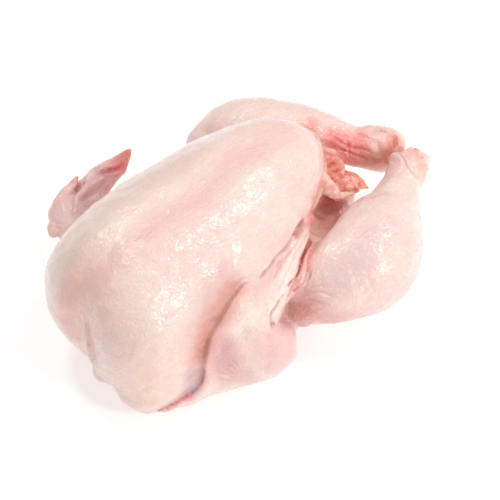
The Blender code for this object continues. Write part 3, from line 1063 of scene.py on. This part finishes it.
class OBJECT_OT_chicken_skin(bpy.types.Operator):
    """Build the skin of the whole bird from its solid."""

    bl_idname = "object.chicken_skin"
    bl_label = "Skin"

    def execute(self, context):
        settings = context.scene.chicken_skin
        piece = copy_of_node(BIRD, "skin")
        apply_modifier(piece, "REMESH", mode="VOXEL", voxel_size=settings.rough_step)
        apply_modifier(piece, "SMOOTH", factor=0.5, iterations=settings.smoothing)
        for name, row in FLESH.items():
            deselect_all()
            bpy.ops.mesh.primitive_uv_sphere_add(**FINGER_FACES, radius=1)
            lump = context.active_object
            lump.name = name
            stretch_along(lump, *row)
            recalculate_normals(lump)
            piece.select_set(True)
            context.view_layer.objects.active = piece
            bpy.ops.object.join()
        apply_modifier(piece, "REMESH", mode="VOXEL", voxel_size=settings.fine_step)
        apply_modifier(piece, "SMOOTH", factor=0.5, iterations=SKIN_SMOOTHING)
        mesh = piece.data
        points = points_of(mesh)
        lowest = points[:, 2].min()
        swell = noise_at(points, SWELL_SIZE) * settings.swell
        swell += noise_at(points, PUCKER_SIZE, 2, 7.0) * settings.pucker
        points += normals_of(mesh) * (swell / MM)[:, None]
        move_points(mesh, points)
        for kind, width, height, path in FOLDS.values():
            normals = normals_of(mesh)
            work_fold(points, normals, kind, width, height, path)
            move_points(mesh, points)
        points[:, 2] = np.maximum(points[:, 2], max(lowest, 0.0))
        move_points(mesh, points)
        triangles = sum(len(face.vertices) - 2 for face in mesh.polygons)
        apply_modifier(piece, "DECIMATE", ratio=min(1, settings.most_triangles / triangles))
        mesh = piece.data
        painted(points_of(mesh), normals_of(mesh), mesh)
        finish_piece(piece, raw_skin_material(settings), BIRD)
        return {"FINISHED"}


class OBJECT_OT_chicken_vent_skin(bpy.types.Operator):
    """Hang the torn leaves of skin round the open vent."""

    bl_idname = "object.chicken_vent_skin"
    bl_label = "Vent skin"

    def execute(self, context):
        settings = context.scene.chicken_detail
        materials = {
            "torn": wet_tissue_material(
                "torn_skin", settings.flap[:], settings.torn[:], TORN_SPOTS
            ),
            "loose": wet_tissue_material(
                "loose_skin", settings.loose[:], settings.flap[:], LOOSE_SPOTS
            ),
        }
        for name, (*row, kind) in VENT_LEAVES.items():
            deselect_all()
            bpy.ops.mesh.primitive_uv_sphere_add(**LEAF_FACES, radius=1)
            leaf = context.active_object
            leaf.name = leaf.data.name = name
            stretch_along(leaf, *row, wave=LEAF_WAVE)
            recalculate_normals(leaf)
            apply_modifier(leaf, "SUBSURF", levels=1, render_levels=1)
            crumple(leaf.data, LEAF_CRUMPLE, CRUMPLE_SIZE)
            finish_piece(leaf, materials[kind])
        return {"FINISHED"}


class OBJECT_OT_chicken_cut_hocks(bpy.types.Operator):
    """Set the gristle of the joint into both cut hocks."""

    bl_idname = "object.chicken_cut_hocks"
    bl_label = "Cut hocks"

    def execute(self, context):
        settings = context.scene.chicken_detail
        material = wet_tissue_material(
            "joint_gristle", settings.cartilage[:], settings.marrow[:], GRISTLE_SPOTS
        )
        for name, lumps in HOCK_LUMPS.items():
            deselect_all()
            for centre, radii in lumps:
                bpy.ops.mesh.primitive_uv_sphere_add(
                    **LUMP_FACES, radius=MM, location=Vector(centre) * MM, scale=radii
                )
            for lump in context.scene.objects:
                if lump.name.startswith("Sphere"):
                    lump.select_set(True)
            bpy.ops.object.join()
            hock = context.active_object
            hock.name = hock.data.name = name
            deselect_all()
            hock.select_set(True)
            bpy.ops.object.transform_apply(location=True, rotation=True, scale=True)
            apply_modifier(hock, "REMESH", mode="VOXEL", voxel_size=GRISTLE_STEP * MM)
            apply_modifier(hock, "SMOOTH", factor=0.5, iterations=GRISTLE_SMOOTHING)
            crumple(hock.data, GRISTLE_CRUMPLE, CRUMPLE_SIZE)
            finish_piece(hock, material)
        return {"FINISHED"}


class OBJECT_OT_chicken_studio(bpy.types.Operator):
    """Add the floor, the soft lights and the camera."""

    bl_idname = "object.chicken_studio"
    bl_label = "Studio"

    def execute(self, context):
        settings = context.scene.chicken_studio
        deselect_all()
        bpy.ops.mesh.primitive_plane_add(size=FLOOR_SIZE, location=(0, 0, -FLOOR_DROP * MM))
        floor = context.active_object
        floor.name = "floor"
        paper = Tree("studio_paper")
        paper.set(
            paper.shader,
            {
                "Base Color": settings.floor[:],
                "Roughness": 0.9,
                "Specular IOR Level": 0.1,
                "Emission Color": (1, 1, 1, 1),
                "Emission Strength": FLOOR_GLOW,
            },
        )
        floor.data.materials.append(paper.material)

        world = bpy.data.worlds.new("studio")
        context.scene.world = world
        world.use_nodes = True
        sky = world.node_tree.nodes["Background"].inputs
        sky["Color"].default_value = linear(SKY)
        sky["Strength"].default_value = WORLD_LIGHT
        for name, (azimuth, elevation, size, power) in LIGHTS.items():
            out = direction(math.radians(azimuth), math.radians(elevation))
            bpy.ops.object.light_add(type="AREA", location=out * LIGHT_DISTANCE)
            lamp = context.active_object
            lamp.name = name
            lamp.data.size = size
            lamp.data.energy = power
            lamp.rotation_euler = out.to_track_quat("Z", "Y").to_euler()

        out = direction(settings.azimuth, settings.elevation)
        bpy.ops.object.camera_add(
            location=Vector(LOOK_AT) * MM + out * settings.distance,
            rotation=out.to_track_quat("Z", "Y").to_euler(),
        )
        camera = context.active_object
        camera.data.sensor_width = SENSOR_WIDTH
        camera.data.lens = settings.lens
        context.scene.camera = camera
        context.scene.view_settings.view_transform = "Standard"
        return {"FINISHED"}


def direction(azimuth, elevation):
    """Unit vector out to an azimuth from the front and an elevation."""
    flat = math.cos(elevation)
    return Vector((math.sin(azimuth) * flat, -math.cos(azimuth) * flat, math.sin(elevation)))


class VIEW3D_PT_chicken(bpy.types.Panel):
    """Sizes, colours and building steps of the chicken."""

    bl_idname = "VIEW3D_PT_chicken"
    bl_label = "Whole Raw Chicken"
    bl_space_type = "VIEW_3D"
    bl_region_type = "UI"
    bl_category = "Chicken"

    def draw(self, context):
        for group, operators in PANEL_ROWS:
            settings = getattr(context.scene, group)
            box = self.layout.box()
            for key in type(settings).__annotations__:
                box.prop(settings, key)
            for operator in operators:
                box.operator(operator.bl_idname)


PANEL_ROWS = (
    ("chicken_skin", (OBJECT_OT_chicken_skin,)),
    ("chicken_detail", (OBJECT_OT_chicken_vent_skin, OBJECT_OT_chicken_cut_hocks)),
    ("chicken_studio", (OBJECT_OT_chicken_studio,)),
)
SETTINGS = {
    "chicken_skin": ChickenSkinSettings,
    "chicken_detail": ChickenDetailSettings,
    "chicken_studio": ChickenStudioSettings,
}
CLASSES = (
    *SETTINGS.values(),
    OBJECT_OT_chicken_skin,
    OBJECT_OT_chicken_vent_skin,
    OBJECT_OT_chicken_cut_hocks,
    OBJECT_OT_chicken_studio,
    VIEW3D_PT_chicken,
)


def register():
    for kind in CLASSES:
        bpy.utils.register_class(kind)
    for name, kind in SETTINGS.items():
        setattr(bpy.types.Scene, name, bpy.props.PointerProperty(type=kind))


def unregister():
    for name in SETTINGS:
        delattr(bpy.types.Scene, name)
    for kind in reversed(CLASSES):
        bpy.utils.unregister_class(kind)


def main():
    register()
    bpy.ops.object.chicken_skin()
    bpy.ops.object.chicken_vent_skin()
    bpy.ops.object.chicken_cut_hocks()
    bpy.ops.object.chicken_studio()


if __name__ == "__main__":
    main()
